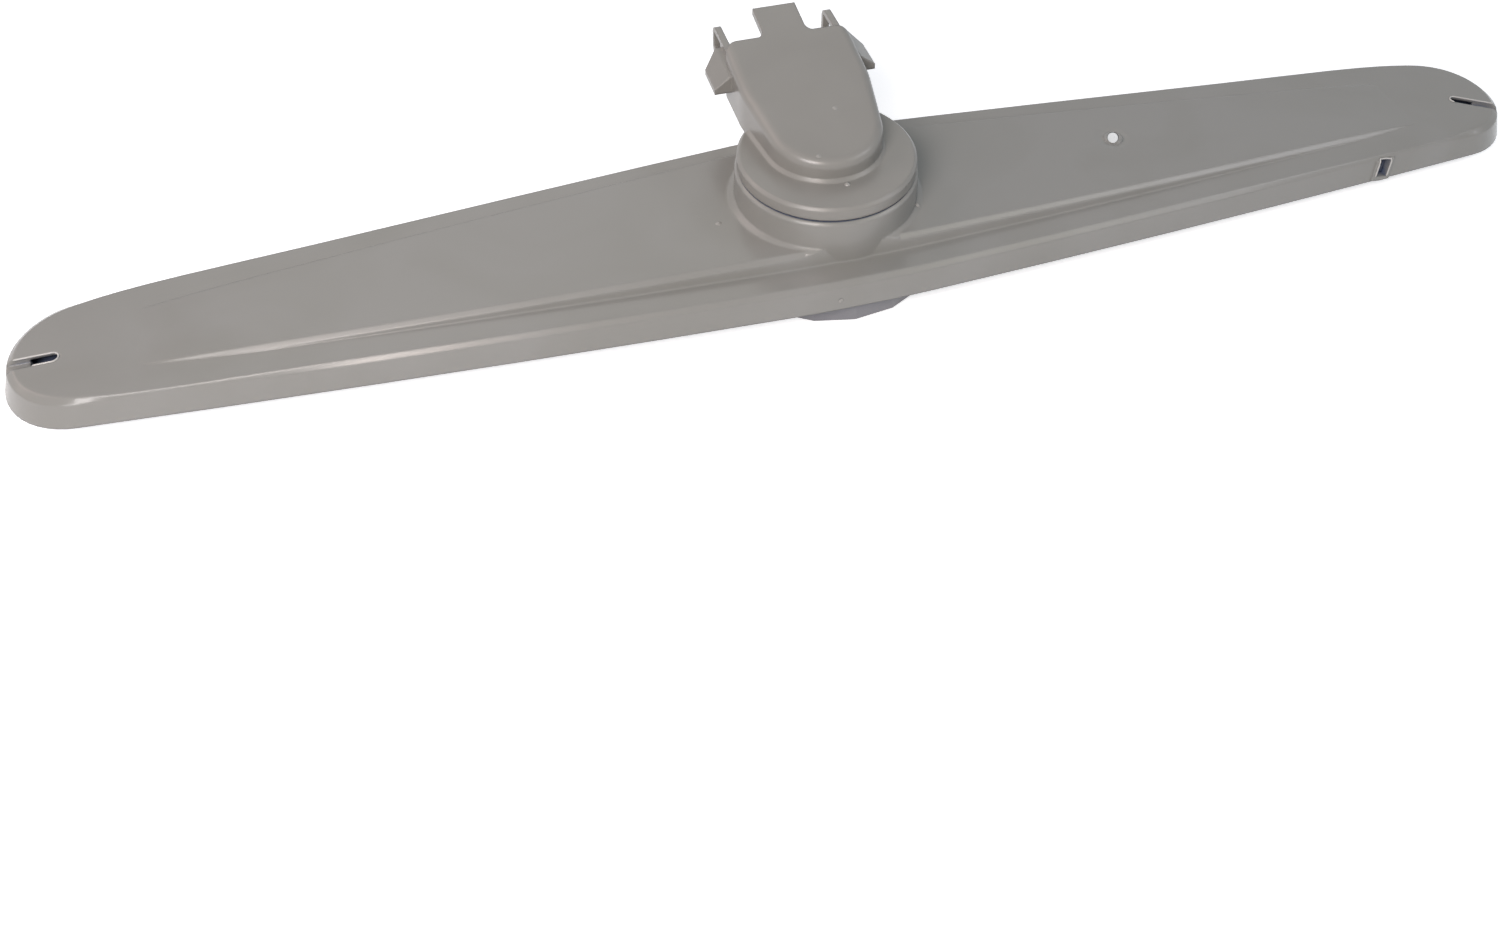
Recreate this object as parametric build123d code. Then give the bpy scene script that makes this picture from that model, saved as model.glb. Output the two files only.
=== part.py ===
"""Upper spray arm of a dishwasher, with its feed elbow, as one turning assembly.

The hollow arm is two welded mouldings, an upper shell with a turret and a lower tray.
It turns on the tube of a feed elbow, whose flat duct leads back to the water supply.
A hand nut below the arm screws on the tube's end and keeps the arm from dropping off.

Millimetres, +Z up, +X along the arm, +Y towards the mouth of the feed duct.
The origin is the centre of the nut's flat underside, on the axis that the arm turns about.
"""
from build123d import *
import os
from math import atan2, cos, hypot, radians, sin, tan

# Arm in plan
arm_length = 462.0          # over both tips, along the lower edge
hub_half_width = 35.5       # half the width of the top face beside the turret
tip_radius = 19.8           # round ends of the top face
hub_blend = 20.0            # half length of the round stretch beside the turret
side_angle = 3.5            # how fast a side closes in just past that stretch
skirt_flare = 1.2           # how much wider the lower edge is than the top face, each side
tip_flare = 2.9             # how much further out it lies at the tips

# Arm in height
flange_height = 16.8        # top face beside the turret, above the underside of the nut
skirt_height = 8.5          # top face to lower edge
droop = 0.95                # each half of the arm slopes down this many degrees
wall = 2.2
top_edge_bevel = 1.35

# Raised middle of the top face
ridge_inset = 8.9           # from the edge of the top face
ridge_rise = 4.7            # at the turret
ridge_end_rise = 1.4        # where it starts to run out
ridge_run_end = 66.0        # from the arm's end to that place
ridge_fade_end = 33.0       # from the arm's end to where it has run out
ridge_fade_depth = 0.3      # how far below the top face it ends
ridge_side_slope = 12.0     # of its sides, from upright
ridge_edge_bevel = 1.15

# Turret and tube
turret_radius = 27.0        # at the foot
turret_top_radius = 26.6
turret_top = 30.5
turret_edge_bevel = 0.8
turret_foot_width = 1.8     # flare where its wall runs out on the ridge
turret_foot_height = 1.1
tube_radius = 18.0
tube_wall = 2.2
tube_end = 15.8
running_clearance = 0.06    # between the tube and what turns on it
sleeve_wall = 2.4
sleeve_end = 22.3
turret_ribs = 8
turret_rib_thickness = 1.6
turret_rib_drop = 3.0       # how far the ribs stop above the sleeve's end
ring_seat_rim = 1.2         # width of the seat's backing outside the ring

# Slide rings
upper_ring_inner = 20.0
upper_ring_outer = 23.6
upper_ring_height = 2.0
ring_fit = 0.15             # round a ring in its seat
lower_ring_height = 0.9
lower_ring_inset = 0.4      # from the rim of the nut's ring
lift_play = 0.1             # up and down play of the arm

# Disc and duct of the elbow
disc_radius = 26.0
disc_bottom = 31.3
disc_thickness = 4.0
disc_edge_bevel = 0.9
disc_web = 2.0              # of the disc over the bore, in front of the duct
duct_bottom = 33.1
duct_crown = 43.8           # top of the duct over the axis
duct_rise = 8.5             # the top rises this many degrees towards the mouth
duct_front_radius = 17.0    # round front, over the tube
duct_front_back = 3.4       # its centre lies this far behind the axis
duct_half_width = 19.7      # at the mouth
duct_flare_length = 17.0    # from the centre of the round front to full width
duct_flare_round = 30.0
duct_back = 40.8            # mouth
duct_corner_round = 4.5     # rear corners
duct_wall = 2.5
duct_edge_round = 3.0
duct_foot_bevel = 1.0

# Tongue, side prongs and catches at the mouth
tongue_width = 13.4
tongue_length = 12.9
tongue_thickness = 2.2
tongue_root_round = 3.2
prong_length = 15.4         # past the mouth
prong_thickness = 2.0
prong_inset = 1.1           # from the side of the duct
prong_low = 36.8
prong_high = 46.9
prong_corner_round = 3.0
prong_bar = 1.8             # round the prong's window, behind and above it
prong_window_length = 7.0
prong_window_height = 5.4
catch_length = 16.2
catch_ramp_length = 5.2
catch_past_mouth = 5.4      # its back end
catch_reach = 5.4           # past the side of the duct
catch_heel = 0.8            # past it at the back end
catch_low = 39.4
catch_edge_height = 1.8
catch_root_height = 5.4

# Nut
nut_inset = 1.2             # of its corners, from the side of the arm
nut_rim_height = 6.3
nut_rim_wall = 2.4
nut_floor = 2.5
nut_bevel = 0.8
nut_ring_wall = 3.6
nut_ring_height = 5.4
nut_legs = 6
nut_leg_angle = 24.0
nut_leg_wall = 3.0
nut_flats = 18              # grip flats round the rim
nut_turn = 7.5              # of the first corner from +X, in degrees
nut_dish_radius = 24.0
nut_boss_radius = 8.0       # in the middle of the dish, level with its rim
nut_dish_depth = 0.9
thread_clearance = 0.05

# Lower shell
tray_recess = 0.6           # of its underside, above the skirt's lower edge
tray_floor = 2.2
tray_rim = 1.8
weld_clearance = 0.1
hub_hole_radius = 24.2
collar_wall = 2.2
collar_gap = 0.8            # above the floor of the nut

# Jets
jet_place = (95.0, 3.5)
jet_radius = 1.65
jet_slant = 54.0            # of its bore, from upright
jet_turn = 32.7             # of the way that it leans, from -Y towards the hub
jet_lip_radius = 3.0
jet_lip_rise = 0.35
jet_dish_radius = 5.6
jet_dish_depth = 0.55
slot_depth = 1.9
slot_skin = 1.0             # of the top face round a slot's hole
slot_relief = 1.7           # how far round the hole it is that thin
trough_margin = 1.5         # width of the trough's wall on each side of a slot
left_slot_end = 16.1        # from the arm's end to the inner end of the slot
left_slot_side = -1.2       # Y of that place
left_slot_hole = 7.6
left_slot_width = 3.5
left_slot_angle = 180.0
right_slot_end = 17.7
right_slot_side = -2.0
right_slot_hole = 7.2
right_slot_width = 3.0
right_slot_angle = -33.0
window_end = 56.4           # from the arm's end to its middle
window_width = 4.2
window_height = 7.4         # of its top, above the skirt's lower edge
window_sill = 1.3           # of its bottom
window_rim = 1.3
window_rim_rise = 0.5
window_lean = 8.0

arm_end = arm_length / 2
tip = arm_end - tip_flare
tip_centre = tip - tip_radius
ridge_run = arm_end - ridge_run_end
ridge_fade = arm_end - ridge_fade_end
skirt_low = flange_height - skirt_height
disc_top = disc_bottom + disc_thickness
side_rate = skirt_flare / skirt_height
end_rate = tip_flare / skirt_height
ridge_slope = (ridge_rise - ridge_end_rise) / ridge_run
left_slot_inner = (left_slot_end - arm_end, left_slot_side)
right_slot_inner = (arm_end - right_slot_end, right_slot_side)
tip_slots = [(left_slot_inner, left_slot_angle, left_slot_width, left_slot_hole),
             (right_slot_inner, right_slot_angle, right_slot_width, right_slot_hole)]
window_place = arm_end - window_end
nut_radius = hub_half_width - nut_inset
mouth_half_width = duct_half_width - prong_inset - prong_thickness
over = 5.0                  # how far cutting shapes run past what they cut
bite = 0.2                  # how far joined shapes run into each other


def half_outline(inset, stretch=0.0):
    """Plan outline of the arm's +X half, moved in by inset, its tip moved out by stretch."""
    half = hub_half_width - inset
    radius = tip_radius - inset
    shoulder = half - hub_blend * tan(radians(side_angle)) / 2
    middle = tip_centre + stretch
    chord = atan2(shoulder - radius, middle - hub_blend)
    lean = 2 * chord - radians(side_angle)
    end = (middle + radius * sin(lean), radius * cos(lean))
    start = Line((-over, half), (0, half))
    blend = TangentArc((0, half), (hub_blend, shoulder), tangent=(1, 0))
    side = TangentArc((hub_blend, shoulder), end, tangent=blend % 1)
    nose = ThreePointArc(end, (middle + radius, 0), (end[0], -end[1]))
    upper = Wire([start, blend, side])
    lower = mirror(upper, Plane.XZ)
    back = Line((-over, -half), (-over, half))
    return make_face([start, blend, side, nose, *lower.edges(), back])


def half_prism(inset, low, high, flare=side_rate, end_flare=end_rate):
    """The arm's +X half between two heights, wider by its flares for each millimetre down."""
    faces = []
    for height in (low, high):
        down = flange_height - height
        face = half_outline(inset - flare * down, (end_flare - flare) * down)
        faces.append(Pos(0, 0, height) * face)
    return loft(faces, ruled=True)


def ridge_half(inset, drop):
    """The raised middle of the +X half, with its sides inset and its top lowered by drop."""
    top = flange_height - drop
    base = flange_height - skirt_height / 2
    run_out = Line((-over, top + ridge_rise + over * ridge_slope), (ridge_run, top + ridge_end_rise))
    fade = TangentArc((ridge_run, top + ridge_end_rise), (ridge_fade, top - ridge_fade_depth),
                      tangent=(1, -ridge_slope))
    end = Line((ridge_fade, top - ridge_fade_depth), (ridge_fade, base))
    floor = Line((ridge_fade, base), (-over, base))
    front = Line((-over, base), (-over, top + ridge_rise + over * ridge_slope))
    profile = make_face([run_out, fade, end, floor, front])
    width = hub_half_width * 2 + over
    side_view = extrude(Plane.XZ * profile, width / 2, both=True)
    slope = tan(radians(ridge_side_slope))
    high = flange_height + ridge_rise + over
    return side_view & half_prism(ridge_inset + inset, base, high, slope, slope)


def drooped(shape, angle):
    """Turns a shape about the cross line of the top face, in the middle of the arm."""
    bend = Pos(0, 0, flange_height)
    return bend * Rot(0, angle, 0) * Pos(0, 0, -flange_height) * shape


def drooped_pair(half):
    """Both halves of the arm from one flat +X half, joined at the axis."""
    size = arm_length + over
    right = drooped(half, droop) & Pos(size / 2, 0, 0) * Box(size, size, size)
    return right + mirror(right, Plane.YZ)


def on_arm(shape):
    """Puts a shape made on the flat arm onto its drooped half: +X or -X by its place."""
    return drooped(shape, droop if shape.center().X > 0 else -droop)


def arm_outside():
    """Closed outer form of the upper shell, with the turret."""
    flat = half_prism(0, skirt_low, flange_height)
    rim = [e for e in flat.faces().sort_by(Axis.Z)[-1].edges() if (e @ 0.5).X > bite - over]
    flat = chamfer(rim, top_edge_bevel)
    ridge = ridge_half(0, 0)
    high = [e for e in ridge.edges() if (e @ 0.5).Z > flange_height - ridge_fade_depth * 2
            and abs((e @ 0.5).Y) > tip_radius / 4 and abs((e @ 0).X - (e @ 1).X) > over]
    ridge = chamfer(high, ridge_edge_bevel)
    return drooped_pair(flat + ridge) + turret_outside() + turret_foot()


def turret_outside():
    """The turret's tapered wall, closed, from inside the ridge to its bevelled top edge."""
    turret = loft([Pos(0, 0, flange_height - wall) * Circle(turret_radius).face(),
                   Pos(0, 0, turret_top) * Circle(turret_top_radius).face()], ruled=True)
    return chamfer(turret.edges().sort_by(Axis.Z)[-1:], turret_edge_bevel)


def turret_foot():
    """Flared foot of the turret, where it stands on the ridge at its left and right."""
    reach = turret_radius + turret_foot_width
    low = flange_height + ridge_rise - reach * (ridge_slope + tan(radians(droop))) - bite / 4
    top = low + turret_foot_height
    inner = turret_radius - wall / 2
    profile = Polyline((turret_radius, top), (reach, low), (reach, low - wall / 2), (inner, low - wall / 2),
                       (inner, top), close=True)
    foot = revolve(Plane.XZ * make_face(profile), Axis.Z)
    slope = tan(radians(ridge_side_slope))
    return foot & drooped_pair(half_prism(ridge_inset, flange_height, top + over, slope, slope))


def arm_inside():
    """The space inside the upper shell."""
    flat = half_prism(wall, skirt_low - over, flange_height - wall)
    body = drooped_pair(flat + ridge_half(wall, wall))
    height = turret_top - wall - skirt_low
    turret = Pos(0, 0, skirt_low + height / 2) * Cylinder(turret_top_radius - wall, height)
    return body + turret


def sleeve():
    """Bearing sleeve under the turret's top, its ribs, and the seat of the upper slide ring."""
    outer = tube_radius + running_clearance + sleeve_wall
    height = turret_top - sleeve_end
    body = Pos(0, 0, sleeve_end + height / 2) * Cylinder(outer, height)
    rib_low = sleeve_end + turret_rib_drop
    rib_height = turret_top - wall / 2 - rib_low
    reach = turret_top_radius - wall / 2 - outer
    for index in range(turret_ribs):
        rib = Pos(outer + reach / 2, 0, rib_low + rib_height / 2)
        rib *= Box(reach + bite * 2, turret_rib_thickness, rib_height)
        body += Rot(0, 0, 360 * index / turret_ribs) * rib
    seat = Pos(0, 0, turret_top - wall) * Cylinder(upper_ring_outer + ring_seat_rim, wall * 2)
    return body + seat


def slot_tool(inner, angle, width, hole):
    """Cutter of a tip slot: a groove out through the tip, and at its inner end a hole in thin skin."""
    groove = SlotOverall(arm_length, width, align=(Align.MIN, Align.CENTER))
    groove = Pos(0, 0, flange_height - slot_depth) * extrude(groove.face(), over)
    opening = extrude(SlotOverall(hole, width, align=(Align.MIN, Align.CENTER)).face(), wall * 3)
    opening = Pos(0, 0, flange_height - wall * 2) * opening
    relief = Box(hole + slot_relief, width + slot_relief * 2, wall * 2,
                 align=(Align.MIN, Align.CENTER, Align.MAX))
    opening += Pos(-slot_relief, 0, flange_height - slot_skin) * relief
    place = Pos(inner[0], inner[1], 0) * Rot(0, 0, angle)
    side = 1 if inner[0] > 0 else -1
    near_tip = Pos(side * arm_end, 0, flange_height) * Box(arm_length / 4, arm_length, over * 4)
    return (place * groove & near_tip) + place * opening


def slot_block(inner, angle, width, gap):
    """A tip slot's trough as an uncut block, bigger by a gap on every side but the top."""
    margin = trough_margin + gap
    block = SlotOverall(arm_length / 4, width + margin * 2, align=(Align.MIN, Align.CENTER))
    low = flange_height - slot_depth - wall - gap
    block = Pos(-margin, 0, low) * extrude(block.face(), wall + gap)
    return Pos(inner[0], inner[1], 0) * Rot(0, 0, angle) * block


def slot_trough(inner, angle, width):
    """Moulded trough under a tip slot's groove, inside the shell."""
    half = half_prism(wall / 2, skirt_low, flange_height)
    half = half if inner[0] > 0 else mirror(half, Plane.YZ)
    return on_arm(slot_block(inner, angle, width, 0) & half)


def round_jet():
    """Parts of the round jet: what is added to the shell, and what is cut from it."""
    x, y = jet_place
    surface = flange_height + ridge_rise - ridge_slope * x
    ball = (jet_dish_radius ** 2 + jet_dish_depth ** 2) / (2 * jet_dish_depth)
    dish = Pos(x, y, surface - jet_dish_depth + ball) * Sphere(ball)
    lip_height = jet_dish_depth + jet_lip_rise + wall / 2
    lip = Pos(x, y, surface + jet_lip_rise - lip_height / 2) * Cylinder(jet_lip_radius, lip_height)
    lip = chamfer(lip.edges().sort_by(Axis.Z)[-1:], jet_lip_rise)
    backing = Pos(x, y, surface - wall - jet_dish_depth / 2) * Cylinder(jet_lip_radius + wall, wall)
    hole = Rot(0, 0, -jet_turn) * Rot(jet_slant, 0, 0) * Cylinder(jet_radius, arm_end / 4)
    hole = Pos(x, y, surface) * hole
    return on_arm(lip + backing), on_arm(dish), on_arm(hole)


def window_parts():
    """Raised frame and cutter of the side window in the front of the skirt."""
    lean = Pos(window_place, -hub_half_width, skirt_low) * Rot(0, window_lean, 0)
    frame_width = window_width + window_rim * 2
    frame_height = window_height + window_rim
    frame = Pos(0, 0, frame_height / 2) * Box(frame_width, hub_half_width, frame_height)
    proud = half_prism(-window_rim_rise, skirt_low, flange_height - top_edge_bevel)
    hole = Pos(0, 0, (window_height + window_sill) / 2)
    hole *= Box(window_width, hub_half_width * 2, window_height - window_sill)
    behind = half_prism(wall + weld_clearance + tray_rim * 2, skirt_low - over, flange_height)
    return on_arm(lean * frame & proud), on_arm(lean * hole - behind)


def arm_upper_shell():
    """Upper moulding of the arm: top face, ridge, skirt, turret, jets."""
    frame, cutter = window_parts()
    lip, dish, hole = round_jet()
    shell = arm_outside() + frame - arm_inside() + sleeve()
    for inner, angle, width, opening in tip_slots:
        shell += slot_trough(inner, angle, width)
        shell -= on_arm(slot_tool(inner, angle, width, opening))
    shell = shell - dish + lip - hole - cutter
    bore = tube_radius + running_clearance
    shell -= Pos(0, 0, turret_top - over) * Cylinder(bore, arm_length / 4)
    return shell - upper_ring_seat()


def upper_ring_seat():
    """Recess for the upper slide ring in the turret's top."""
    depth = upper_ring_height - (disc_bottom - lift_play - turret_top)
    outer = Cylinder(upper_ring_outer + ring_fit, depth + over)
    inner = Cylinder(upper_ring_inner - ring_fit, depth + over)
    return Pos(0, 0, turret_top - depth + (depth + over) / 2) * (outer - inner)


def arm_lower_shell():
    """Lower moulding of the arm: a tray inside the skirt, with the collar round the hub hole."""
    low = skirt_low + tray_recess
    inset = wall + weld_clearance
    outer = half_prism(inset, low, flange_height - wall)
    inner = half_prism(inset + tray_rim, low + tray_floor, flange_height)
    tray = drooped_pair(outer - inner)
    collar_low = nut_floor + collar_gap
    collar_high = low + tray_floor
    height = collar_high - collar_low
    collar = Pos(0, 0, collar_low + height / 2) * Cylinder(hub_hole_radius + collar_wall, height)
    hole = Cylinder(hub_hole_radius, arm_length / 4)
    tray = tray + collar - hole - round_jet()[2]
    for inner, angle, width, opening in tip_slots:
        tray -= on_arm(slot_block(inner, angle, width, weld_clearance))
    below = drooped_pair(half_prism(0, skirt_low - over, low + tray_floor))
    return tray - (window_parts()[1] - below)


def ring(inner, outer, low, height):
    """A flat ring about the axis."""
    middle = Pos(0, 0, low + height / 2)
    return middle * (Cylinder(outer, height) - Cylinder(inner, height))


def upper_slide_ring():
    """Ring in the turret's top that the elbow's disc runs on when water lifts the arm."""
    low = disc_bottom - lift_play - upper_ring_height
    return ring(upper_ring_inner, upper_ring_outer, low, upper_ring_height)


def lower_slide_ring():
    """Ring on the nut that carries the arm's sleeve."""
    low = sleeve_end - lower_ring_height - running_clearance
    outer = tube_radius + nut_ring_wall - lower_ring_inset
    return ring(tube_radius + running_clearance, outer, low, lower_ring_height)


def hub_nut():
    """Hand nut: a shallow cup with grip flats, and a cage of legs that carries its threaded ring."""
    cup = extrude(RegularPolygon(nut_radius, nut_flats, rotation=nut_turn), nut_rim_height)
    cup = chamfer(cup.faces().sort_by(Axis.Z)[0].edges(), nut_bevel)
    cup -= Pos(0, 0, nut_floor + over) * Cylinder(nut_radius - nut_rim_wall, over * 2)
    dish = RegularPolygon(nut_dish_radius, nut_flats, rotation=nut_turn)
    boss = RegularPolygon(nut_boss_radius, nut_flats, rotation=nut_turn)
    cup -= extrude(dish - boss, nut_dish_depth)
    bore = tube_radius + thread_clearance
    ring_top = sleeve_end - lower_ring_height - running_clearance * 2
    ring_low = ring_top - nut_ring_height
    body = cup + ring(bore, bore + nut_ring_wall, ring_low, nut_ring_height)
    leg_inner = bore + nut_ring_wall - nut_leg_wall
    leg_height = ring_low - nut_floor + bite * 2
    leg_ring = ring(leg_inner, bore + nut_ring_wall, nut_floor - bite, leg_height)
    for index in range(nut_legs):
        wedge = Rot(0, 0, 360 * index / nut_legs) * leg_wedge()
        body += leg_ring & wedge
    return body


def leg_wedge():
    """A pie slice that cuts one leg out of the ring of legs."""
    far = nut_radius * 2
    half = radians(nut_leg_angle / 2)
    corners = [(0, 0), (far * cos(half), -far * sin(half)), (far * cos(half), far * sin(half))]
    return extrude(make_face(Polyline(*corners, close=True)), arm_length / 4)


def duct_outline(inset, back):
    """Plan outline of the duct, moved inwards by inset, with a straight rear end at back."""
    radius = duct_front_radius - inset
    half = duct_half_width - inset
    start = duct_front_back
    full = start + duct_flare_length
    flare = atan2(half - radius, full - start)
    touch = (radius * cos(flare), start - radius * sin(flare))
    front = ThreePointArc((-touch[0], touch[1]), (0, start - radius), touch)
    sides = Polyline(touch, (half, full), (half, back), (-half, back), (-half, full), (-touch[0], touch[1]))
    face = make_face([front, *sides.edges()])
    knees = [v for v in face.vertices() if abs(v.Y - full) < bite]
    return fillet(knees, duct_flare_round)


def crown_at(y):
    """Height of the duct's sloping top at a distance y behind the axis."""
    return duct_crown + y * tan(radians(duct_rise))


def on_crown(shape):
    """Puts a shape made about the origin on the duct's sloping top, over the middle of the mouth."""
    return Pos(0, duct_back, crown_at(duct_back)) * Rot(duct_rise, 0, 0) * shape


def under_crown(low, drop, back):
    """Everything between a level floor and the duct's sloping top lowered by drop."""
    front = -disc_radius
    corners = [(front, low), (back, low), (back, crown_at(back) - drop), (front, crown_at(front) - drop)]
    return extrude(Plane.YZ * make_face(Polyline(*corners, close=True)), disc_radius, both=True)


def duct_outside():
    """Closed outer form of the duct: rounded along its upper edge, then cut off at the mouth."""
    back = duct_back + over
    height = crown_at(back) - duct_bottom
    body = Pos(0, 0, duct_bottom) * extrude(duct_outline(0, back), height)
    body = body & under_crown(duct_bottom, 0, back)
    crown = [e for e in body.edges() if abs((e @ 0.5).Z - crown_at((e @ 0.5).Y)) < bite
             and (e @ 0.5).Y < duct_back + bite]
    body = fillet(crown, duct_edge_round)
    length = duct_back + disc_radius
    plan = Pos(0, duct_back - length / 2) * Rectangle(duct_half_width * 2, length)
    plan = fillet(plan.vertices().group_by(Axis.Y)[-1], duct_corner_round)
    return body & Pos(0, 0, duct_bottom) * extrude(plan, height)


def duct_inside():
    """Water way inside the duct, open at the mouth and down to the tube's bore."""
    floor = disc_top - bite
    plan = duct_outline(duct_wall, duct_back)
    height = crown_at(duct_back) - duct_wall - floor
    inside = Pos(0, 0, floor) * extrude(plan, height) & under_crown(floor, duct_wall, duct_back)
    sump = Pos(0, 0, disc_top - disc_web - bite) * extrude(plan, disc_web + bite)
    bore = Pos(0, 0, disc_top - disc_web) * Cylinder(tube_radius - tube_wall, disc_thickness)
    return inside + (sump & bore)


def tongue():
    """Tongue that carries the sloping top of the duct on past the mouth."""
    half = tongue_width / 2
    root = tongue_root_round
    back = tongue_length
    front = -duct_wall / 2
    foot = -bite * 2
    middle = root * (1 - cos(radians(45)))
    right = [Line((half + root, front), (half + root, foot)),
             ThreePointArc((half + root, foot), (half + middle, foot + middle), (half, foot + root)),
             Line((half, foot + root), (half, back))]
    left = mirror(Wire(right), Plane.YZ).edges()
    ends = [Line((half, back), (-half, back)), Line((-half - root, front), (half + root, front))]
    plate = extrude(make_face([*right, *left, *ends]), tongue_thickness)
    return on_crown(Pos(0, 0, -tongue_thickness) * plate)


def prong(side):
    """A side wall carried on past the mouth as a frame round a window; side is 1 or -1."""
    front = duct_back - duct_corner_round - duct_wall / 2
    back = duct_back + prong_length
    edges = Polyline((front, prong_low), (back, prong_low), (back, prong_high), (front, prong_high),
                     close=True)
    plan = make_face(edges)
    rear = [v for v in plan.vertices() if v.X > back - bite]
    plate = extrude(Plane.YZ * fillet(rear, prong_corner_round), prong_thickness)
    plate = Pos(mouth_half_width, 0, 0) * plate
    window = Pos(mouth_half_width, back - prong_bar, prong_high - prong_bar)
    plate -= window * Box(prong_thickness * 4, prong_window_length, prong_window_height,
                          align=(Align.CENTER, Align.MAX, Align.MAX))
    return plate if side > 0 else mirror(plate, Plane.YZ)


def catch(side):
    """Ramped catch on the outside of the duct's side; side is 1 or -1."""
    inner = duct_half_width - prong_inset - bite
    outer = duct_half_width + catch_reach
    back = duct_back + catch_past_mouth
    front = back - catch_length
    plan = Polyline((inner, front), (outer, front), (outer, back - catch_ramp_length),
                    (duct_half_width + catch_heel, back), (inner, back), close=True)
    body = Pos(0, 0, catch_low) * extrude(make_face(plan), catch_root_height)
    ramp = Polyline((inner, 0), (outer, 0), (outer, catch_edge_height),
                    (duct_half_width + catch_heel, catch_root_height), (inner, catch_root_height),
                    close=True)
    length = back + over
    section = Pos(0, length, catch_low) * extrude(Plane.XZ * make_face(ramp), length)
    body = body & section
    return body if side > 0 else mirror(body, Plane.YZ)


def feed_elbow():
    """Elbow moulding: duct, disc, tube, tongue, prongs and catches."""
    disc = Pos(0, 0, disc_bottom + disc_thickness / 2) * Cylinder(disc_radius, disc_thickness)
    disc = chamfer(disc.edges().sort_by(Axis.Z)[-1:], disc_edge_bevel)
    tube_height = disc_bottom - tube_end
    tube = Pos(0, 0, tube_end + tube_height / 2) * Cylinder(tube_radius, tube_height)
    body = disc + duct_outside()
    level = body.edges().filter_by_position(Axis.Z, disc_top - bite, disc_top + bite)
    flat_radius = disc_radius - disc_edge_bevel - bite
    foot = [e for e in level if hypot((e @ 0.5).X, (e @ 0.5).Y) < flat_radius]
    body = chamfer(foot, duct_foot_bevel)
    body += tongue() + prong(1) + prong(-1) + catch(1) + catch(-1)
    body += tube
    body -= duct_inside()
    bore_height = disc_top - disc_web - tube_end
    bore = Pos(0, 0, tube_end + bore_height / 2) * Cylinder(tube_radius - tube_wall, bore_height)
    return body - bore


parts = {
    "feed_elbow": feed_elbow,
    "hub_nut": hub_nut,
    "lower_slide_ring": lower_slide_ring,
    "upper_slide_ring": upper_slide_ring,
    "arm_upper_shell": arm_upper_shell,
    "arm_lower_shell": arm_lower_shell,
}

os.makedirs("parts", exist_ok=True)
for name, make in parts.items():
    solid = make()
    export_step(solid, f"parts/{name}.step")
    print(name, "solids", len(solid.solids()), "volume", round(solid.volume))
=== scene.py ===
"""Looks of a dishwasher spray arm that lies on a white table with its feed elbow up.

The moulded pieces keep their solid form and get satin polypropylene, a cooler grade for the nut
and the tray, and dark acetal for the slide rings. Holes and gaps are darkened with painted shade.
Small moulding marks and lips of flash are added as worked-out surfaces; the lips are painted
almost white as highlights. Everything is in metres, +Z up, +X along the arm, +Y towards the mouth
of the feed duct.
"""
import math

import bpy
import numpy as np
from mathutils import Matrix, Vector


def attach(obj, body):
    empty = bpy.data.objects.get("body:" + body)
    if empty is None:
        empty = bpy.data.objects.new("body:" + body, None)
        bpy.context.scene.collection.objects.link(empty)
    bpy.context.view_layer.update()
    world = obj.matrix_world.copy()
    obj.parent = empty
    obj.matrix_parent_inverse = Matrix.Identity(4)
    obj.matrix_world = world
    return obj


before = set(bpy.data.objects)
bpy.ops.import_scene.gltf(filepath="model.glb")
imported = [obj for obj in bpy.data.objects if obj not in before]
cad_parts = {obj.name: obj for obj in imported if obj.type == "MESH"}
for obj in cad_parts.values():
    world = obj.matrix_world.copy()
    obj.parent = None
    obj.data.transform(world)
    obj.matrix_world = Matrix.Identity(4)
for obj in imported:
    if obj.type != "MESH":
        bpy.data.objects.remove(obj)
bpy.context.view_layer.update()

MM = 0.001

# The photograph's camera, worked out from the edges of the arm
PHOTO_SIZE = (1500, 934)
FOCAL_PIXELS = 1570.54
PRINCIPAL_PIXEL = (750.0, 220.0)
VIEW_DISTANCE = 462.96 * MM
VIEW_OFFSET = (-21.99 * MM, -5.50 * MM)
VIEW_AZIMUTH = math.radians(16.525)
VIEW_ELEVATION = math.radians(40.333)
VIEW_ROLL = math.radians(0.381)
SENSOR_WIDTH = 36.0
NEAREST_SEEN = 0.01

# Studio light: name, degrees round from the right tip, degrees up, distance and side in metres, and
# its red, green and blue watts
LAMPS = (
    ("left_front_lamp", 230, 38, 0.9, 0.32, (4.3, 4.1, 4.1)),
    ("front_lamp", 243, 44, 1.1, 0.28, (2.6, 2.2, 2.0)),
    ("right_front_lamp", 315, 46, 1.2, 0.3, (0.5, 0.5, 0.4)),
    ("right_lamp", 335, 38, 1.2, 0.4, (1.6, 1.6, 1.7)),
    ("back_lamp", 90, 45, 1.2, 0.8, (1.0, 1.0, 0.9)),
    ("left_back_lamp", 150, 35, 1.0, 0.6, (1.9, 1.5, 1.4)),
)

# Fill light from all round, how brightly the table glows, and half the table's width in metres
FILL_COLOUR = (0.05, 0.1, 0.15, 1.0)
FLOOR_GLOW = 0.62
FLOOR_HALF = 4.0

# Moulded plastic: how far the melt's colour and the mould's gloss wander in millimetres, the part
# of each noise that is used, how much the gloss changes, and how strongly the skin bends light
FLOW_LENGTH = 45
CLOUD_LENGTH = 9
FLOW_RANGE = (0.35, 0.65)
CLOUD_RANGE = (0.3, 0.7)
GLOSS_CHANGE = 0.02
SKIN_IOR = 1.49

# Painted shade in the arm's holes and in the other pieces' gaps, how far in millimetres a hole
# looks for walls, the open share at which it is all painted shade and at which it is clear, and the
# rays that are used for this and for rounded edges
ARM_HOLLOW_SHADE = "#56637D"
GAP_HOLLOW_SHADE = "#121316"
HOLLOW_REACH = 9.0
FULL_SHADE_SHARE = 0.15
CLEAR_SHARE = 0.45
RAY_COUNT = 8

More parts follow.
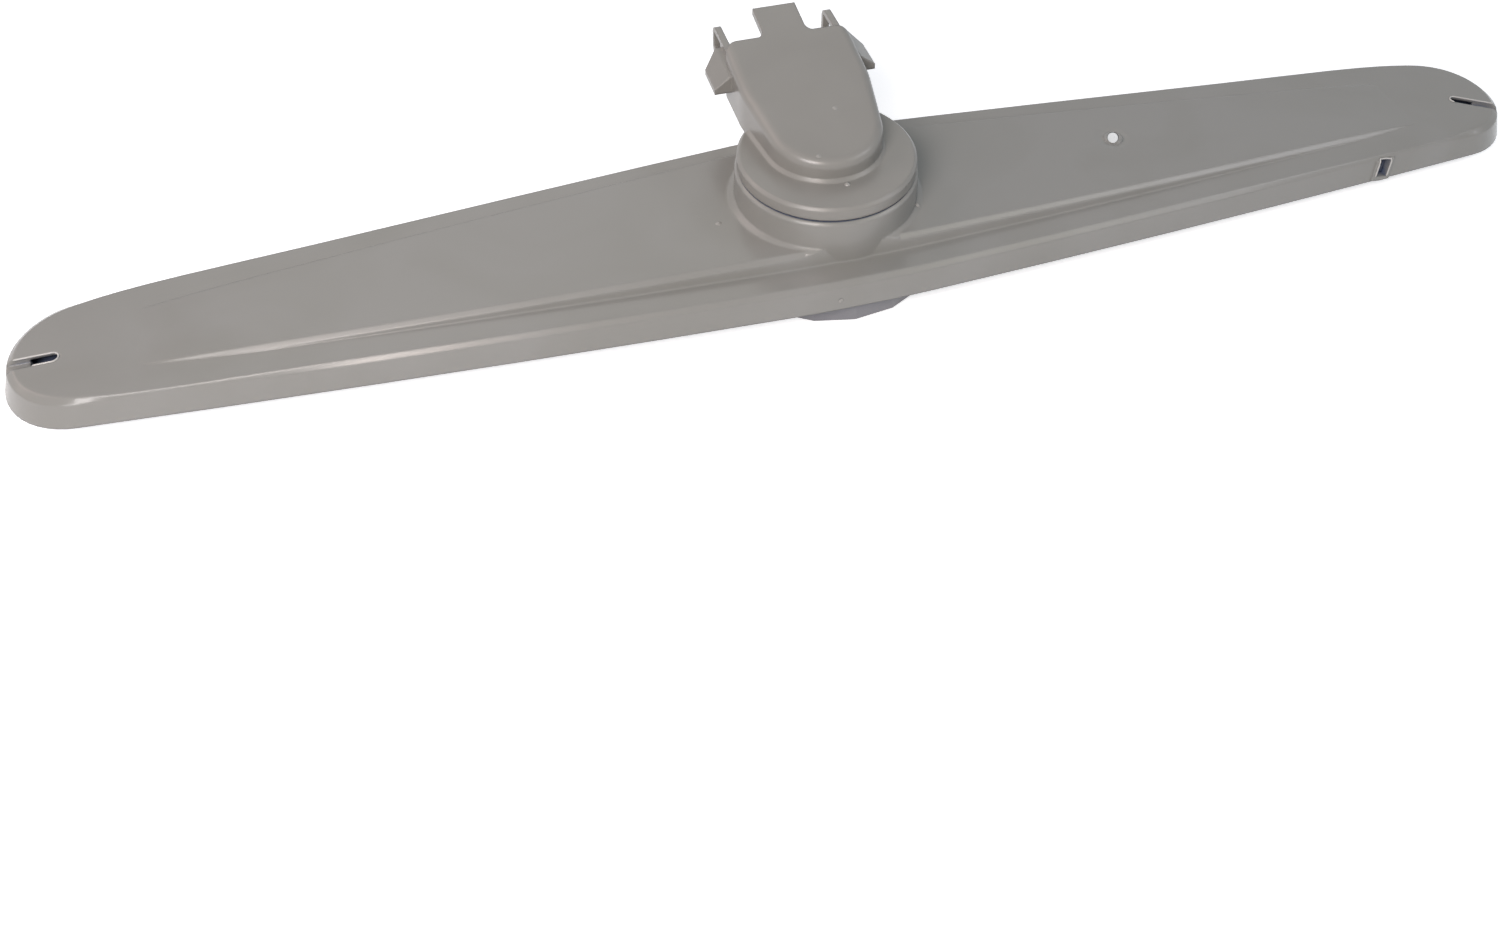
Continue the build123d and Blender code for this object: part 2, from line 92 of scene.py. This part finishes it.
# Places and sizes on the part, in millimetres. The ridge falls over its length from its height at
# the hub to its height near the tip.
FLANGE_HEIGHT = 16.8
DROOP = math.radians(0.95)
RIDGE_AT_HUB = 4.7
RIDGE_AT_TIP = 1.4
RIDGE_LENGTH = 165
RIDGE_FALL = (RIDGE_AT_HUB - RIDGE_AT_TIP) / RIDGE_LENGTH + math.tan(DROOP)
DISC_TOP = 35.3
DUCT_CROWN = 43.8
DUCT_RISE = math.tan(math.radians(8.5))

# Low round marks: rings, points round a ring, and how far the last ring lies in the surface
DOME_RINGS = 9
DOME_SIDES = 28
DOME_SINK = 0.03

# Pin marks: name, X, Y, Z, radius, height, and the rise of the surface along X and Y
ARM_MARKS = (
    ("left_pin_mark", -33.8, -5.0, 20.26, 0.95, 0.3, (RIDGE_FALL, 0.0)),
    ("right_pin_mark", 23.6, -14.05, 21.25, 0.85, 0.5, (-0.525, 0.313)),
)
ELBOW_MARKS = (
    ("duct_front_pin_mark", -5.9, -9.8, DUCT_CROWN - 9.8 * DUCT_RISE, 0.8, 0.2, (0.0, DUCT_RISE)),
    ("duct_back_pin_mark", 4.5, 7.2, DUCT_CROWN + 7.2 * DUCT_RISE, 0.8, 0.2, (0.0, DUCT_RISE)),
    ("disc_gate_stub", 0.8, -15.6, DISC_TOP, 0.95, 0.6, (0.0, 0.0)),
)

# The gate stub on the upright front of the skirt: X, Y, Z, radius and height
SKIRT_MARK = (-7.0, -36.29, 11.2, 0.7, 0.3)

# Lips round the openings: radius, length of a step, points round it, steps in which an end swells,
# a direction that no lip runs along, and points on the round end of a slot
LIP_RADIUS = 0.27
LIP_STEP = 0.35
LIP_SIDES = 10
LIP_END_STEPS = 3
LIP_UPWARDS = (0.0, 0.3, 1.0)
ROUND_END_POINTS = 13

# The round end of each tip slot (X, Y, radius, turn in degrees) and how far the lip runs on before
# and after it, and the corners of the side window
SLOT_ENDS = (
    ("left_slot_lip", -216.65, -1.2, 1.75, 180.0, 10.0, 5.0),
    ("right_slot_lip", 214.56, -2.82, 1.5, -33.0, 0.0, 12.0),
)
WINDOW_CORNERS = ((172.5, -24.82, 7.0), (173.3, -24.02, 12.1), (173.5, -23.35, 13.0),
                  (175.6, -23.22, 12.7), (177.6, -23.4, 12.35), (177.5, -23.95, 11.4),
                  (176.8, -24.55, 6.4))


def camera():
    """Camera of the photograph: its three axes come from azimuth, elevation and roll."""
    azimuth, elevation, roll = VIEW_AZIMUTH, VIEW_ELEVATION, VIEW_ROLL
    level = Vector((math.sin(azimuth), math.cos(azimuth), 0))
    right = Vector((math.cos(azimuth), -math.sin(azimuth), 0))
    back = Vector((0, 0, math.sin(elevation))) - level * math.cos(elevation)
    up = back.cross(right)
    rolled_right = right * math.cos(roll) + up * math.sin(roll)
    rolled_up = up * math.cos(roll) - right * math.sin(roll)
    target = Vector((0, 0, FLANGE_HEIGHT * MM))
    aside = rolled_right * VIEW_OFFSET[0] + rolled_up * VIEW_OFFSET[1]
    place = target + aside + back * VIEW_DISTANCE
    data = bpy.data.cameras.new("photo_camera")
    data.sensor_width = SENSOR_WIDTH
    data.lens = FOCAL_PIXELS / PHOTO_SIZE[0] * SENSOR_WIDTH
    data.shift_x = (PHOTO_SIZE[0] / 2 - PRINCIPAL_PIXEL[0]) / PHOTO_SIZE[0]
    data.shift_y = (PRINCIPAL_PIXEL[1] - PHOTO_SIZE[1] / 2) / PHOTO_SIZE[0]
    data.clip_start = NEAREST_SEEN
    view = bpy.data.objects.new("photo_camera", data)
    turn = Matrix((rolled_right, rolled_up, back)).transposed().to_4x4()
    view.matrix_world = Matrix.Translation(place) @ turn
    bpy.context.scene.collection.objects.link(view)
    bpy.context.scene.camera = view


def linear(hex_code):
    """Linear RGBA of an sRGB hex colour."""
    channels = [int(hex_code[i:i + 2], 16) / 255 for i in (1, 3, 5)]
    return [c / 12.92 if c <= 0.04045 else ((c + 0.055) / 1.055) ** 2.4 for c in channels] + [1.0]


def add_node(tree, kind, inputs=None, **settings):
    """Adds a node, sets its properties, and fills each named input with a value or a link."""
    made = tree.nodes.new(kind)
    for key, value in settings.items():
        setattr(made, key, value)
    for key, value in (inputs or {}).items():
        if isinstance(value, bpy.types.NodeSocket):
            tree.links.new(value, made.inputs[key])
        else:
            made.inputs[key].default_value = value
    return made


def new_material(name):
    """An empty node material, and its node tree."""
    material = bpy.data.materials.new(name)
    material.use_nodes = True
    material.node_tree.nodes.clear()
    return material, material.node_tree


def moulded_plastic(name, pale, deep, hollow_shade, roughness, grain_mm, grain_depth_mm, edge_mm):
    """Injection moulded plastic.

    The colour wanders a little between two shades over some centimetres, where the melt flowed. A
    spark-eroded mould leaves a fine grain, and every edge has a small radius. Narrow gaps and holes
    get painted shade, darker the more enclosed they are: slate in the arm, and almost black in the
    other pieces.
    """
    material, tree = new_material(name)
    place = add_node(tree, "ShaderNodeTexCoord").outputs["Object"]
    flow = add_node(tree, "ShaderNodeTexNoise", {
        "Vector": place, "Scale": 1 / (FLOW_LENGTH * MM), "Detail": 2.0, "Roughness": 0.5,
        "Distortion": 0.8})
    cloud = add_node(tree, "ShaderNodeTexNoise", {
        "Vector": place, "Scale": 1 / (CLOUD_LENGTH * MM), "Detail": 3.0, "Roughness": 0.6})
    share = add_node(tree, "ShaderNodeMapRange", {
        "Value": flow.outputs["Fac"], "From Min": FLOW_RANGE[0], "From Max": FLOW_RANGE[1],
        "To Min": 0.0, "To Max": 1.0})
    colour = add_node(tree, "ShaderNodeMix", {
        "Factor": share.outputs[0], 6: linear(deep), 7: linear(pale)}, data_type="RGBA")
    # Painted shade: the less of the surroundings a point sees within reach, the more its colour
    # turns to the hollow shade colour
    hollow = add_node(tree, "ShaderNodeAmbientOcclusion", {"Distance": HOLLOW_REACH * MM},
                      samples=RAY_COUNT)
    open_share = add_node(tree, "ShaderNodeMapRange", {
        "Value": hollow.outputs["AO"], "From Min": FULL_SHADE_SHARE, "From Max": CLEAR_SHARE,
        "To Min": 0.0, "To Max": 1.0})
    shade = add_node(tree, "ShaderNodeMix", {
        "Factor": open_share.outputs[0], 6: linear(hollow_shade), 7: colour.outputs[2]}, data_type="RGBA")
    gloss = add_node(tree, "ShaderNodeMapRange", {
        "Value": cloud.outputs["Fac"], "From Min": CLOUD_RANGE[0], "From Max": CLOUD_RANGE[1],
        "To Min": roughness - GLOSS_CHANGE, "To Max": roughness + GLOSS_CHANGE})
    edge = add_node(tree, "ShaderNodeBevel", {"Radius": edge_mm * MM}, samples=RAY_COUNT)
    grain = add_node(tree, "ShaderNodeTexNoise", {
        "Vector": place, "Scale": 1 / (grain_mm * MM), "Detail": 1.0, "Roughness": 0.5})
    bump = add_node(tree, "ShaderNodeBump", {
        "Height": grain.outputs["Fac"], "Strength": 1.0, "Distance": grain_depth_mm * MM,
        "Normal": edge.outputs["Normal"]})
    skin = add_node(tree, "ShaderNodeBsdfPrincipled", {
        "Base Color": shade.outputs[2], "Roughness": gloss.outputs[0], "IOR": SKIN_IOR,
        "Normal": bump.outputs["Normal"]})
    add_node(tree, "ShaderNodeOutputMaterial", {"Surface": skin.outputs[0]})
    return material


def arm_polypropylene():
    """Warm grey satin polypropylene of the arm: soft highlights lie along its rounded edges."""
    return moulded_plastic("moulded_grey_polypropylene", "#979590", "#92908A", ARM_HOLLOW_SHADE,
                           roughness=0.24, grain_mm=0.45, grain_depth_mm=0.002, edge_mm=1.0)


def elbow_polypropylene():
    """The elbow's polypropylene: nearly the same grey, with a little broader highlights."""
    return moulded_plastic("polished_grey_polypropylene", "#95928C", "#908D87", GAP_HOLLOW_SHADE,
                           roughness=0.3, grain_mm=0.5, grain_depth_mm=0.002, edge_mm=0.8)


def tray_polypropylene():
    """The tray's slate grey polypropylene: the underside is darker and cooler than the top."""
    return moulded_plastic("moulded_slate_polypropylene", "#7F8087", "#787A82", ARM_HOLLOW_SHADE,
                           roughness=0.4, grain_mm=0.45, grain_depth_mm=0.003, edge_mm=0.5)


def nut_polypropylene():
    """The nut's polypropylene: a cooler and more matt grey than the arm's, for hands to grip."""
    return moulded_plastic("moulded_cool_grey_polypropylene", "#88878A", "#818084", GAP_HOLLOW_SHADE,
                           roughness=0.4, grain_mm=0.45, grain_depth_mm=0.003, edge_mm=0.6)


def mark_polypropylene():
    """Polypropylene of a pin mark or gate stub: paler, where warm plastic was torn or pressed."""
    return moulded_plastic("torn_grey_polypropylene", "#A6A39D", "#A09D97", ARM_HOLLOW_SHADE,
                           roughness=0.24, grain_mm=0.5, grain_depth_mm=0.001, edge_mm=0.05)


def flash_painted_highlight():
    """Thin flash at the edges of openings: its almost white colour is a painted highlight."""
    return moulded_plastic("thin_flash_painted_highlight", "#CFCCC7", "#C7C4BE", ARM_HOLLOW_SHADE,
                           roughness=0.2, grain_mm=0.5, grain_depth_mm=0.001, edge_mm=0.1)


def ring_acetal():
    """Dark grey acetal of the slide rings: smooth and a little waxy, with painted shade in their
    gaps.
    """
    return moulded_plastic("dark_grey_acetal", "#3D3E40", "#37383A", GAP_HOLLOW_SHADE,
                           roughness=0.3, grain_mm=0.8, grain_depth_mm=0.001, edge_mm=0.2)


def straight_rays(tree):
    """One for rays from the camera, in mirrored light and through clear pieces, else zero."""
    path = add_node(tree, "ShaderNodeLightPath")
    seen = add_node(tree, "ShaderNodeMath", {
        0: path.outputs["Is Camera Ray"], 1: path.outputs["Is Glossy Ray"]}, operation="MAXIMUM")
    straight = add_node(tree, "ShaderNodeMath", {
        0: seen.outputs[0], 1: path.outputs["Is Transmission Ray"]}, operation="MAXIMUM")
    return straight.outputs[0]


def floor_paint():
    """Matt white table top that reads as plain white to the camera and keeps a soft shadow."""
    material, tree = new_material("matt_white_table")
    matt = add_node(tree, "ShaderNodeBsdfDiffuse", {"Color": linear("#F4F4F4"), "Roughness": 0.0})
    glow = add_node(tree, "ShaderNodeEmission", {
        "Color": linear("#FFFFFF"), "Strength": FLOOR_GLOW})
    both = add_node(tree, "ShaderNodeAddShader", {0: matt.outputs[0], 1: glow.outputs[0]})
    shown = add_node(tree, "ShaderNodeMixShader", {
        0: straight_rays(tree), 1: matt.outputs[0], 2: both.outputs[0]})
    add_node(tree, "ShaderNodeOutputMaterial", {"Surface": shown.outputs[0]})
    return material


def studio_floor():
    """A wide white table at the height of the nut's underside."""
    corners = [(x * FLOOR_HALF, y * FLOOR_HALF, 0) for x, y in ((-1, -1), (1, -1), (1, 1), (-1, 1))]
    mesh = bpy.data.meshes.new("table")
    mesh.from_pydata(corners, [], [(0, 1, 2, 3)])
    mesh.materials.append(floor_paint())
    floor = bpy.data.objects.new("table", mesh)
    bpy.context.scene.collection.objects.link(floor)


def studio_world():
    """Even white surroundings: plain white where they are seen, and a soft fill on the object."""
    world = bpy.data.worlds.new("studio")
    world.use_nodes = True
    tree = world.node_tree
    tree.nodes.clear()
    fill = add_node(tree, "ShaderNodeBackground", {"Color": FILL_COLOUR, "Strength": 1.0})
    seen = add_node(tree, "ShaderNodeBackground", {"Color": linear("#FFFFFF"), "Strength": 1.0})
    mix = add_node(tree, "ShaderNodeMixShader", {
        0: straight_rays(tree), 1: fill.outputs[0], 2: seen.outputs[0]})
    add_node(tree, "ShaderNodeOutputWorld", {"Surface": mix.outputs[0]})
    bpy.context.scene.world = world


def soft_lamp(name, turn, height, distance, size, watts):
    """A square lamp of the given side that faces the middle of the arm.

    It stands turn degrees round from the right tip and height degrees up, at a distance in metres,
    and gives its watts of red, green and blue light.
    """
    data = bpy.data.lights.new(name, "AREA")
    data.size = size
    data.energy = max(watts)
    data.color = [share / max(watts) for share in watts]
    lamp = bpy.data.objects.new(name, data)
    turn, height = math.radians(turn), math.radians(height)
    outwards = Vector((math.cos(turn) * math.cos(height), math.sin(turn) * math.cos(height),
                       math.sin(height)))
    lamp.rotation_euler = (-outwards).to_track_quat("-Z", "Y").to_euler()
    lamp.location = outwards * distance + Vector((0, 0, FLANGE_HEIGHT * MM))
    bpy.context.scene.collection.objects.link(lamp)


def surface(name, points, material, body):
    """A mesh from a grid of points with one face between each four neighbours.

    The grid is closed on itself along its second direction.
    """
    rows, columns = points.shape[:2]
    order = np.arange(rows * columns).reshape(rows, columns)
    order = np.concatenate([order, order[:, :1]], axis=1)
    faces = np.stack([order[:-1, :-1], order[:-1, 1:], order[1:, 1:], order[1:, :-1]], axis=-1)
    mesh = bpy.data.meshes.new(name)
    mesh.from_pydata((points.reshape(-1, 3) * MM).tolist(), [], faces.reshape(-1, 4).tolist())
    mesh.shade_smooth()
    mesh.materials.append(material)
    piece = bpy.data.objects.new(name, mesh)
    bpy.context.scene.collection.objects.link(piece)
    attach(piece, body)


def dome(centre, radius, height, slope=(0.0, 0.0)):
    """Points of a low round mark: the height falls from the middle as one minus distance squared.

    The last ring lies a little below the surface, which rises by slope for each step along x and y.
    """
    share = np.linspace(0.0, 1.0, DOME_RINGS)[:, None]
    angle = np.linspace(2 * np.pi, 0.0, DOME_SIDES, endpoint=False)[None, :]
    x = radius * share * np.cos(angle)
    y = radius * share * np.sin(angle)
    z = height * (1 - share ** 2) - DOME_SINK * share + slope[0] * x + slope[1] * y
    return np.stack([x + centre[0], y + centre[1], z + centre[2]], axis=-1)


def even_path(corners):
    """Points at even steps along the lines between the corners."""
    corners = np.array(corners, dtype=float)
    run = np.concatenate([[0.0], np.cumsum(np.linalg.norm(np.diff(corners, axis=0), axis=1))])
    places = np.linspace(0.0, run[-1], int(run[-1] / LIP_STEP) + 2)
    return np.stack([np.interp(places, run, corners[:, i]) for i in range(3)], axis=1)


def lip(name, corners, painted_highlight_flash):
    """A thin round bead of flash along the lines between the corners, on the arm.

    Each ring is the radius times cosine and sine of an angle along two directions across the path.
    At both ends it swells from nothing as a quarter circle, over the first few steps.
    """
    path = even_path(corners)
    along = np.gradient(path, axis=0)
    along /= np.linalg.norm(along, axis=1, keepdims=True)
    across = np.cross(along, LIP_UPWARDS)
    across /= np.linalg.norm(across, axis=1, keepdims=True)
    lifted = np.cross(along, across)
    steps = np.arange(len(path))
    to_full = 1 - np.minimum(np.minimum(steps, steps[::-1]) / LIP_END_STEPS, 1.0)
    size = LIP_RADIUS * np.sqrt(1 - to_full ** 2)[:, None, None]
    angle = np.linspace(0.0, 2 * np.pi, LIP_SIDES, endpoint=False)[None, :, None]
    ring = np.cos(angle) * across[:, None] + np.sin(angle) * lifted[:, None]
    surface(name, path[:, None] + size * ring, painted_highlight_flash, "arm")


def opening_lips(painted_highlight_flash):
    """Thin lips of flash that stand round the tip slots' holes and the side window, painted pale as
    highlights.
    """
    for name, x, y, radius, turn, before, after in SLOT_ENDS:
        turn = math.radians(turn)
        outwards = np.array([math.cos(turn), math.sin(turn)])
        leftwards = np.array([-outwards[1], outwards[0]])
        bend = np.linspace(0.0, np.pi, ROUND_END_POINTS)[:, None]
        round_end = -leftwards * np.cos(bend) - outwards * np.sin(bend)
        start = -leftwards + outwards * before / radius
        end = leftwards + outwards * after / radius
        plan = np.array([x, y]) + radius * np.concatenate([[start], round_end, [end]])
        side = math.copysign(math.sin(DROOP), x)
        corners = [(px * math.cos(DROOP), py, FLANGE_HEIGHT - px * side) for px, py in plan]
        lip(name, corners, painted_highlight_flash)
    lip("window_lip", WINDOW_CORNERS, painted_highlight_flash)


def moulding_marks(torn):
    """Ejector pin marks and gate stubs: low round pips on the arm, the duct's top and the disc."""
    for name, x, y, z, radius, height, slope in ARM_MARKS:
        surface(name, dome((x, y, z), radius, height, slope), torn, "arm")
    for name, x, y, z, radius, height, slope in ELBOW_MARKS:
        surface(name, dome((x, y, z), radius, height, slope), torn, "feed")
    x, y, z, radius, height = SKIRT_MARK
    lying = dome((0.0, 0.0, 0.0), radius, height)
    upright = np.stack([lying[..., 0] + x, y - lying[..., 2], lying[..., 1] + z], axis=-1)
    surface("skirt_gate_stub", upright, torn, "arm")


def dress(node, material):
    """Gives a moulded piece its finish."""
    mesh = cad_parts[node].data
    mesh.materials.clear()
    mesh.materials.append(material)


camera()
studio_floor()
studio_world()
for lamp in LAMPS:
    soft_lamp(*lamp)
bpy.context.scene.view_settings.view_transform = "Standard"

dress("arm_upper_shell", arm_polypropylene())
dress("arm_lower_shell", tray_polypropylene())
dress("feed_elbow", elbow_polypropylene())
dress("hub_nut", nut_polypropylene())
ring_finish = ring_acetal()
for node_name in ("upper_slide_ring", "lower_slide_ring"):
    dress(node_name, ring_finish)
moulding_marks(mark_polypropylene())
opening_lips(flash_painted_highlight())
